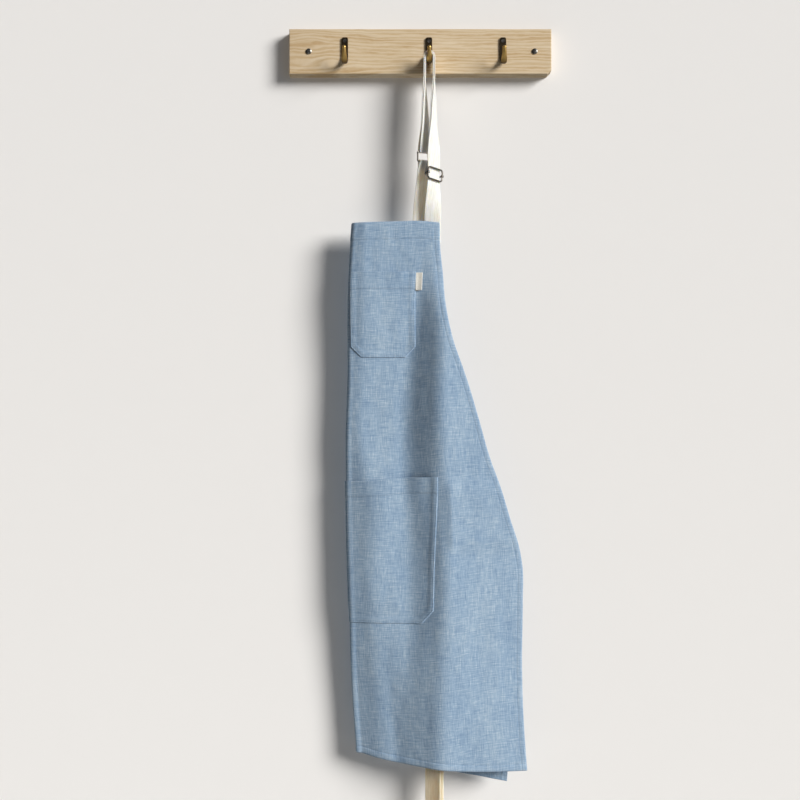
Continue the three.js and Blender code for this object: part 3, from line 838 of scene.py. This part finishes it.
# The front half hangs in one long hollow between two ridges. Columns: height, the hollow's middle
# and half width, how steeply it turns from the light, and the slopes of the two ridges.
FRONT_FOLDS = (
    (-1112, -3, 32, 0.44, -0.34, 0.10), (-1000, 3, 31, 0.41, -0.31, 0.12),
    (-900, 8, 31, 0.41, -0.10, 0.13), (-775, 9, 31, 0.49, 0.04, 0.13),
    (-700, 5, 31, 0.49, 0.06, 0.13), (-620, 2, 31, 0.56, 0.06, 0.13),
    (-540, 2, 31, 0.575, 0.05, 0.14), (-480, 5, 29, 0.59, 0.05, 0.14),
    (-430, 8, 25, 0.58, 0.04, 0.13), (-380, 9.4, 18, 0.44, 0.03, 0.11),
    (-345, 9.4, 12, 0.20, 0.02, 0.06), (-310, 9, 10, 0.04, 0.0, 0.03), (-262, 8, 10, 0, 0, 0.01),
)
FOLD_PRESSED = 4.0                   # how much flatter the fold is from the lower pocket down, in mm
# A crease to the right of the lower pocket, fading out at both ends.
CREASE = {
    "bottom": -765.0, "sharp_from": -735.0, "sharp_to": -672.0, "top": -640.0,
    "x": 47.5, "lean": 0.045, "steep": 0.26,
}


def below_mouth(z):
    """0 above the lower pocket, 1 below its mouth."""
    return smooth(-z, 560, 690)


def settled(z):
    """0 down to the lower pocket's middle, 1 by the hem, where the halves lie nearer the wall."""
    return smooth(-z, 800, 1000)


def front_slope(x, z):
    """How fast the front half goes back as x grows. Below 0 it faces left, into the shade."""
    edge = table(FOLD_EDGE, z) + CLOTH["bend"]
    middle, half, steep, left_ridge, right_ridge = np.moveaxis(table(FRONT_FOLDS, z), -1, 0)
    turning = 14 + 16 * below_mouth(z) + 14 * smooth(-z, 780, 1050)
    into = smooth(x, middle - half * 1.2, middle - half * 0.15)
    out_of = smooth(x, middle + half * 0.35, middle + half * 1.4)
    first = 0.24 + 0.1 * below_mouth(z) + 0.02 * settled(z)
    slope = -first * (1 - smooth(x, edge + turning * 0.4, edge + turning * 1.4))
    slope = slope + left_ridge * smooth(x, edge + turning, edge + turning + 18) * (1 - into)
    slope = slope - steep * (into - out_of)
    slope = slope + right_ridge * out_of
    height = smooth(z, CREASE["bottom"], CREASE["sharp_from"]) * (
        1 - smooth(z, CREASE["sharp_to"], CREASE["top"])
    )
    line = CREASE["x"] - CREASE["lean"] * (z - CREASE["sharp_from"])
    flat = smooth(x, line - 16, line - 5) * (1 - smooth(x, line - 0.8, line + 0.8))
    return slope - CREASE["steep"] * height * flat


def front_depth(x, z):
    """y of the front half: its slope added up along each row, from the fold to the free edge."""
    rise = np.cumsum(front_slope(x, z) * np.gradient(x, axis=1), axis=1)
    start = CLOTH["middle"] - CLOTH["bend"] + 5 * smooth(-z, 330, 480)
    start = start + FOLD_PRESSED * below_mouth(z) + 8.5 * settled(z)
    return start + rise - rise[:, :1]


def back_depth(x, z):
    """y of the back half, which hangs in shallow folds of its own."""
    away = x - table(FOLD_EDGE, z)
    waves = np.sin(away / 24 + z / 900) * smooth(away, 8, 60)
    waves = waves * (1 - 0.4 * settled(z))
    return CLOTH["middle"] + CLOTH["bend"] + smooth(-z, 330, 700) * (1.5 - 3.4 * waves) + 4 * settled(z)


def unevenness(x, z, seed):
    """Long soft undulations and a fine rumple."""
    return 0.9 * wander(x / 34, z / 150, seed) + 0.28 * wander(x / 11, z / 16, seed + 1)


# Rows and columns are closer together at the hems and their stitching.
SIDE_MARKS = np.array([0, 0.7, 1.6, 3, 5, 6.8, 7.4, 8, 8.6, 9.2, 11])
TOP_MARKS = np.array([0, 0.7, 1.6, 4, 9, 15, 21, 25, 26.2, 27, 27.8, 29])
BOTTOM_MARKS = np.array([0, 0.7, 1.6, 3.5, 6, 8.6, 9.4, 10, 10.6, 11.4, 13])
MIDDLE_ROWS = 190
INNER_COLUMNS = {"front": 100, "back": 70}


def half_of_apron(side, seed):
    """Points of one half: rows from the top to the hem, columns from the fold to the free edge."""
    inner = INNER_COLUMNS[side]
    hem_line = FRONT_HEM if side == "front" else BACK_HEM
    above, below = len(TOP_MARKS) - 1, len(BOTTOM_MARKS) - 1
    share = np.pad(np.linspace(0, 1, MIDDLE_ROWS), (above, below), "edge")[:, None]
    under_top = np.pad(TOP_MARKS, (0, MIDDLE_ROWS + below - 1), "edge")[:, None]
    over_hem = np.pad(BOTTOM_MARKS, (0, MIDDLE_ROWS + above - 1), "edge")[::-1, None]
    across = np.linspace(0, 1, inner)
    # the outline's x depends on z and its z on x, so both settle in a few rounds from any height
    z = np.full((len(share), inner + len(SIDE_MARKS) - 1), -600.0)
    for _ in range(4):
        first = table(FOLD_EDGE, z) + CLOTH["bend"]
        last = table(FRONT_EDGE, z) - (table(BACK_INSET, z) if side == "back" else 0)
        x = np.hstack([
            first[:, :inner] + (last[:, :inner] - SIDE_MARKS[-1] - first[:, :inner]) * across,
            last[:, inner:] - SIDE_MARKS[-2::-1],
        ])
        top, hem = table(TOP_EDGE, x), table(hem_line, x)
        z = (top - under_top) * (1 - share) + (hem + over_hem) * share
    depth = front_depth(x, z) if side == "front" else back_depth(x, z)
    y = depth + unevenness(x, z, seed) * smooth(x - first, 0, 12)
    distances = np.stack([top - z, z - hem, last - x], -1)
    return np.stack([x, y, z], -1), distances


def folded_apron():
    """Both halves and the bend between them, from the back half's free edge to the front half's."""
    front, front_far = half_of_apron("front", 11)
    back, back_far = half_of_apron("back", 17)
    angles = np.linspace(-90, 90, 17)[1:-1]
    bends = []
    for angle in np.radians(angles):
        share = (math.sin(angle) + 1) / 2
        point = back[:, 0] * (1 - share) + front[:, 0] * share
        reach = (back[:, 0, 1] - front[:, 0, 1]) / 2
        point[:, 0] = table(FOLD_EDGE, point[:, 2]) + CLOTH["bend"] * (1 - math.cos(angle))
        point[:, 1] = (back[:, 0, 1] + front[:, 0, 1]) / 2 - reach * math.sin(angle)
        bends.append(point)
    bend = np.stack(bends, axis=1)
    far = np.stack([front_far[:, 0]] * len(angles), axis=1)
    points = np.concatenate([back[:, ::-1], bend, front], axis=1)
    distances = np.concatenate([back_far[:, ::-1], far, front_far], axis=1)
    return points, distances, back.shape[1] + len(angles) // 2


def outward(points):
    """The direction out of the cloth's right side at each point of a grid."""
    return unit(np.cross(np.gradient(points, axis=0), np.gradient(points, axis=1)))


def seam_relief(far, width, along, seed):
    """How a hem stands out: a rounded edge, a soft body and a pulled-in line of stitching."""
    edge = -0.7 * (1 - smooth(far, 0, 1.6))
    body = 0.28 * smooth(far, 0, 2) * (1 - smooth(far, width - 1.5, width))
    stitching = -0.32 * bump(far, width, 1.1)
    pucker = wander(along / 7, far / 9, seed) * bump(far, width, 9)
    return edge + body + stitching + 0.4 * pucker


class Chart:
    """The apron's surface by its own flat measures: mm across from the fold, and height."""

    STEP = 1.5

    def __init__(self, points, fold):
        travel = lengths_along(points.transpose(1, 0, 2)).T
        self.travel = travel - travel[:, fold: fold + 1]
        self.low = self.travel.min(), points[..., 2].min()
        self.across = np.arange(self.low[0], self.travel.max(), self.STEP)
        self.heights = np.arange(self.low[1], points[..., 2].max(), self.STEP)
        by_row = np.stack([
            [np.interp(self.across, self.travel[r], row[:, k]) for k in range(3)]
            for r, row in enumerate(points)
        ])
        self.points = np.stack([
            [np.interp(self.heights, by_row[::-1, 2, c], by_row[::-1, k, c]) for k in range(3)]
            for c in range(len(self.across))
        ]).transpose(2, 0, 1)
        self.normals = outward(self.points[::-1])[::-1]

    def look_up(self, grid, across, heights):
        u = np.clip((across - self.low[0]) / self.STEP, 0, len(self.across) - 1.001)
        v = np.clip((heights - self.low[1]) / self.STEP, 0, len(self.heights) - 1.001)
        i, j = v.astype(int), u.astype(int)
        a, b = (u - j)[..., None], (v - i)[..., None]
        upper = grid[i, j] * (1 - a) + grid[i, j + 1] * a
        lower = grid[i + 1, j] * (1 - a) + grid[i + 1, j + 1] * a
        return upper * (1 - b) + lower * b

    def at(self, across, heights, lift=0.0):
        """Points on the surface, or lift millimetres out of it."""
        across, heights = np.broadcast_arrays(np.asarray(across, float), np.asarray(heights, float))
        out = unit(self.look_up(self.normals, across, heights))
        return self.look_up(self.points, across, heights) + out * np.asarray(lift, float)[..., None]

    def across_of(self, x, height):
        """How far from the fold the front half reaches x at a height."""
        front = self.across > 0
        row = self.points[int((height - self.low[1]) / self.STEP), front, 0]
        return float(np.interp(x, row, self.across[front]))


# Where the lower pocket's mouth draws the front half in: its middle, and half its height and width.
PULLED = {"x": -12, "z": -655, "wide": 46, "tall": 13, "depth": 2.0}
HEM_LEVELS = 8                       # steps of thickness between the hems and the single cloth


def make_apron():
    points, far, fold = folded_apron()
    chart = Chart(points, fold)
    along = lengths_along(points)
    travel = chart.travel
    relief = (
        seam_relief(far[..., 0], HEM["top"], travel, 21)
        + seam_relief(far[..., 1], HEM["bottom"], travel, 22)
        + seam_relief(far[..., 2], HEM["side"], along, 23) * smooth(far[..., 0], 2, 14) * 0.7
    )
    x, z = points[..., 0], points[..., 2]
    front = np.arange(points.shape[1]) > fold
    pulled = PULLED["depth"] * bump(z, PULLED["z"], PULLED["tall"])
    relief = relief - pulled * bump(x, PULLED["x"], PULLED["wide"]) * front
    surface = points + outward(points) * relief[..., None]
    cloth = make_sheet("apron_cloth_folded", surface, LINEN, travel, along)
    doubled = np.max([
        1 - smooth(far[..., k], width - 0.5, width + 0.5)
        for k, width in enumerate((HEM["top"], HEM["bottom"], HEM["side"]))
    ], axis=0)
    group = cloth.vertex_groups.new(name="hem")
    levels = np.round(doubled.ravel() * HEM_LEVELS).astype(int)
    for level in range(1, HEM_LEVELS + 1):
        group.add(np.flatnonzero(levels == level).tolist(), level / HEM_LEVELS, "REPLACE")
    solid = thicken(cloth, CLOTH["hem"])
    solid.vertex_group = "hem"
    solid.thickness_vertex_group = CLOTH["thickness"] / CLOTH["hem"]
    stands_for(cloth, "apron", "linen", "apron_cloth")
    return cloth, surface, chart


apron, apron_surface, chart = make_apron()


# ---- the rows of stitching in the hems ----
def hem_stitches():
    """Along the stations of the cloth that lie on its rows of stitching."""
    normals = outward(apron_surface)
    top = int(np.argmin(np.abs(TOP_MARKS - HEM["top"])))
    bottom = -1 - int(np.argmin(np.abs(BOTTOM_MARKS - HEM["bottom"])))
    side = int(np.argmin(np.abs(SIDE_MARKS - HEM["side"])))
    lines = [(apron_surface[row, side:-side], normals[row, side:-side]) for row in (top, bottom)]
    for column in (side, -1 - side):
        lines.append((apron_surface[top:bottom, column], normals[top:bottom, column]))
    stitches("apron_hem_stitches", lines)


hem_stitches()


# ---- pockets ----
SEAM = {"stitch": 2.4, "turned_in": 9.0}
WEAVE_SHIFT = (400, 300)             # so that a pocket's weave doesn't follow on from the apron's
SEAM_MARKS = np.array([0, 0.6, 1.3, 1.9, 2.4, 2.9, 3.6, 5, 7.5, 9.5])
CHEST = {
    "name": "chest_pocket_patch", "nodes": ("chest_pocket",), "left": 8.0, "right_x": (-7.1, -7.6),
    "top": ((-200, -340.2), (200, -340.2)), "bottom": -468.8, "chamfer": 16, "hem": 26,
    "mouth": ((-29, 26, 1.5, 30),), "belly": 0.8, "seed": 41,
}
LOWER = {
    "name": "lower_pocket_patch", "nodes": ("lower_pocket_front", "lower_pocket_back"),
    "left": -140.0, "right_x": (25.3, 18.6),
    "top": ((-150, -655), (0, -653.6), (45, -652.6), (90, -648.5), (150, -647)),
    "bottom": -865.2, "chamfer": 20, "hem": 24,
    "mouth": ((-10, 40, 3.4, 75), (-50, 42, 2.6, 130)), "belly": 1.2, "seed": 43,
}


class Pocket:
    """A patch pocket sewn on the apron: c is millimetres across it from its left edge."""

    def __init__(self, spec):
        self.spec = spec
        self.heights = (spec["top"][0][1], spec["bottom"])
        self.rights = [chart.across_of(x, h) for x, h in zip(spec["right_x"], self.heights)]
        self.width = self.rights[0] - spec["left"]
        self.mouths = [
            (chart.across_of(x, self.heights[0]) - spec["left"], *rest) for x, *rest in spec["mouth"]
        ]

    def across(self, c, z):
        lean = np.interp(-np.asarray(z), [-h for h in self.heights], self.rights) - self.rights[0]
        return self.spec["left"] + c + lean * np.clip(c / self.width, 0, 1)

    def top(self, c):
        return table(self.spec["top"], self.spec["left"] + c)

    def bottom(self, c):
        nearest = np.minimum(c, self.width - c)
        return self.spec["bottom"] + np.maximum(0, self.spec["chamfer"] - nearest)

    def far(self, c, z):
        """The distance from the sewn edges."""
        side = np.minimum(c, self.width - c)
        low = z - self.spec["bottom"]
        return np.minimum(np.minimum(side, low), (side + low - self.spec["chamfer"]) / math.sqrt(2))

    def lift(self, c, z):
        """How far the pocket's outside stands off the apron."""
        spec, far, under = self.spec, self.far(c, z), self.top(c) - z
        turned, hem, seed = SEAM["turned_in"], spec["hem"], spec["seed"]
        lift = 1.0 + 0.5 * (1 - smooth(far, turned - 1, turned + 1))
        lift = lift - 0.9 * (1 - smooth(far, 0, 1.6)) - 0.35 * bump(far, SEAM["stitch"], 0.9)
        lift = lift + spec["belly"] * smooth(far, 4, 34)
        lift = lift + 0.5 * (1 - smooth(under, hem - 0.6, hem + 0.6))
        lift = lift - 0.3 * bump(under, hem, 1.0) * smooth(far, 2, 4)
        lift = lift + 0.35 * wander(c / 7, z / 7, seed) * bump(far, SEAM["stitch"], 8)
        lift = lift + 0.4 * wander(c / 28, z / 40, seed + 1) * smooth(far, 3, 20)
        for middle, half, height, depth in self.mouths:
            gape = height * bump(c, middle, half) * (1 - smooth(under, 0, depth))
            lift = lift + gape * smooth(far, 1, 25)
        return lift

    def at(self, c, z):
        return chart.at(self.across(c, z), z, self.lift(c, z))

    def seam_line(self):
        """Down one side, along the bottom and up the other, inside the edge by the stitching's inset."""
        inset, spec = SEAM["stitch"], self.spec
        corner = spec["chamfer"] + inset * (math.sqrt(2) - 1)
        low = spec["bottom"]
        corners = [
            (inset, self.top(inset) - 1.2), (inset, low + corner), (corner, low + inset),
            (self.width - corner, low + inset), (self.width - inset, low + corner),
            (self.width - inset, self.top(self.width - inset) - 1.2),
        ]
        line = [
            np.linspace(a, b, max(int(math.dist(a, b) / 2), 2), endpoint=False)
            for a, b in zip(corners, corners[1:])
        ]
        return np.concatenate(line + [np.array([corners[-1]])])


def make_pocket(spec):
    pocket = Pocket(spec)
    inner = np.linspace(SEAM_MARKS[-1], pocket.width - SEAM_MARKS[-1], int(pocket.width / 2.6))
    c = np.concatenate([SEAM_MARKS[:-1], inner, pocket.width - SEAM_MARKS[-2::-1]])[None, :]
    top, bottom = pocket.top(c), pocket.bottom(c)
    hem = spec["hem"]
    upper = np.array([0, 0.6, 1.4, 4, 8, 13, 18, hem - 3, hem - 1, hem, hem + 1, hem + 3])
    below = np.linspace(0, 1, 64)[:, None]
    z = np.concatenate([
        top - upper[:-1, None],
        top - upper[-1] + (bottom + SEAM_MARKS[-1] - top + upper[-1]) * below,
        bottom + SEAM_MARKS[-2::-1, None],
    ])
    c = np.broadcast_to(c, z.shape)
    patch = make_sheet(spec["name"], pocket.at(c, z), LINEN, c + WEAVE_SHIFT[0], -z + WEAVE_SHIFT[1])
    thicken(patch, CLOTH["thickness"])
    stands_for(patch, "apron", "linen", *spec["nodes"])
    seam = pocket.seam_line()
    hem_c = np.linspace(SEAM["stitch"] + 2, pocket.width - SEAM["stitch"] - 2, 90)
    lines = []
    for line in (seam, np.column_stack([hem_c, pocket.top(hem_c) - hem])):
        on = pocket.at(line[:, 0], line[:, 1])
        lines.append((on, on - chart.at(pocket.across(line[:, 0], line[:, 1]), line[:, 1])))
    stitches(spec["name"] + "_stitches", lines)


make_pocket(CHEST)
make_pocket(LOWER)


# ---- the blank side label ----
LABEL = {"x": -7.4, "width": 10.6, "top": -341.6, "bottom": -368.2, "thickness": 0.45}


def make_label():
    """A short piece of tape whose left end is caught under the chest pocket's seam."""
    share = np.linspace(0, 1, 12)
    across = chart.across_of(LABEL["x"], LABEL["top"]) + LABEL["width"] * share[None, :]
    heights = np.linspace(LABEL["top"], LABEL["bottom"], 22)[:, None]
    across, heights = np.broadcast_arrays(across, heights)
    curl = 1.2 + 0.9 * smooth(share, 0.2, 1)[None, :] + 0.25 * np.sin(heights / 6)
    points = chart.at(across, heights, curl)
    label = make_sheet("side_label_blank", points, LABEL_TAPE, across, heights)
    thicken(label, LABEL["thickness"], offset=0)
    stands_for(label, "apron", "label_tape", "side_label")


make_label()


# ---- the rail and its fittings keep their CAD shapes ----
def paint(material, *nodes):
    for node in nodes:
        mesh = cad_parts[node].data
        mesh.materials.clear()
        mesh.materials.append(material)


SIDES = ("left", "middle", "right")
paint(WOOD, "rail_board")
paint(STEEL, "wall_screw_left", "wall_screw_right")
paint(BRASS, *(f"hook_{side}" for side in SIDES))
paint(DARK_STEEL, *(f"hook_screw_{side}_{place}" for side in SIDES for place in ("upper", "lower")))


# ---- stage ----
STAGE = {"reach": 2600, "floor": -1760, "wall_top": 1400, "wall_y": 0.4}


def stage():
    """A pale wall that only the camera sees, and only from the front, and a pale floor."""
    s = Shader("wall", Base_Color=(*srgb(235, 233, 231), 1), Roughness=0.9, Specular_IOR_Level=0.1)
    clear = s.add("BsdfTransparent")
    behind = s.add("NewGeometry", output="Backfacing")
    seen = s.add("LightPath", output="Is Camera Ray")
    shown = s.times(seen, s.minus(1.0, behind))
    mixed = s.add("MixShader", {0: shown, 1: clear, 2: s.bsdf.outputs[0]})
    s.put(s.tree.nodes["Material Output"], "Surface", mixed)
    floor = Shader("floor", Base_Color=(*srgb(192, 191, 188), 1), Roughness=0.85)
    reach, low, wall_y = STAGE["reach"], STAGE["floor"], STAGE["wall_y"]
    for name, near, far, high, shader in (
        ("wall", wall_y, wall_y, STAGE["wall_top"], s), ("floor", -reach, reach, low, floor),
    ):
        corners = [(-reach, near, low), (reach, near, low), (reach, far, high), (-reach, far, high)]
        make_mesh(name, corners, [(0, 1, 2, 3)], shader.material)


KEY = {"energy": 4.15, "right": 51.0, "up": 20.0, "spread": 26.0, "colour": (1.0, 0.985, 0.96)}
BEHIND = {"at": (-1.4, 2.2, 0.5), "towards": (0, 0, -0.6), "size": 1.2, "power": 28}
# How bright the room is on the left, on the right and beyond the wall, and as the camera sees it.
ROOM = {"left": 0.0, "right": 0.3, "wall": 0.2, "seen": 0.8, "colour": (0.92, 0.95, 1.0, 1)}


def add_light(name, kind, direction, **settings):
    light = bpy.data.lights.new(name, kind)
    for key, value in settings.items():
        setattr(light, key, value)
    obj = linked(name, light)
    obj.rotation_euler = direction.to_track_quat("-Z", "Y").to_euler()
    return obj


def lights():
    """A big soft light from the right, a weak one behind, and a weak pale room around them."""
    world = bpy.data.worlds.new("world")
    world.use_nodes = True
    sky = Nodes(world.node_tree)
    x, y, _ = sky.axes(sky.add("TexCoord", output="Generated"))
    sideways = sky.add("MapRange", {
        "Value": x, "From Min": -1.0, "From Max": 1.0, "To Min": ROOM["left"], "To Max": ROOM["right"],
    })
    beyond = sky.add("MapRange", {"Value": y, "From Min": -0.05, "From Max": 0.05})
    around = sky.add("Mix", {"Factor": beyond, "A": sideways, "B": ROOM["wall"]})
    camera = sky.add("LightPath", output="Is Camera Ray")
    strength = sky.add("Mix", {"Factor": camera, "A": around, "B": ROOM["seen"]})
    background = sky.tree.nodes["Background"]
    sky.put(background, "Color", ROOM["colour"])
    sky.put(background, "Strength", strength)
    bpy.context.scene.world = world
    right, up = math.radians(KEY["right"]), math.radians(KEY["up"])
    direction = Vector((
        -math.sin(right) * math.cos(up), math.cos(right) * math.cos(up), -math.sin(up),
    ))
    add_light(
        "key", "SUN", direction, energy=KEY["energy"], angle=math.radians(KEY["spread"]),
        color=KEY["colour"],
    )
    at = Vector(BEHIND["at"])
    behind = add_light(
        "behind", "AREA", Vector(BEHIND["towards"]) - at, shape="SQUARE", size=BEHIND["size"],
        energy=BEHIND["power"],
    )
    behind.location = at
    bpy.context.scene.view_settings.view_transform = "Standard"


stage()
lights()
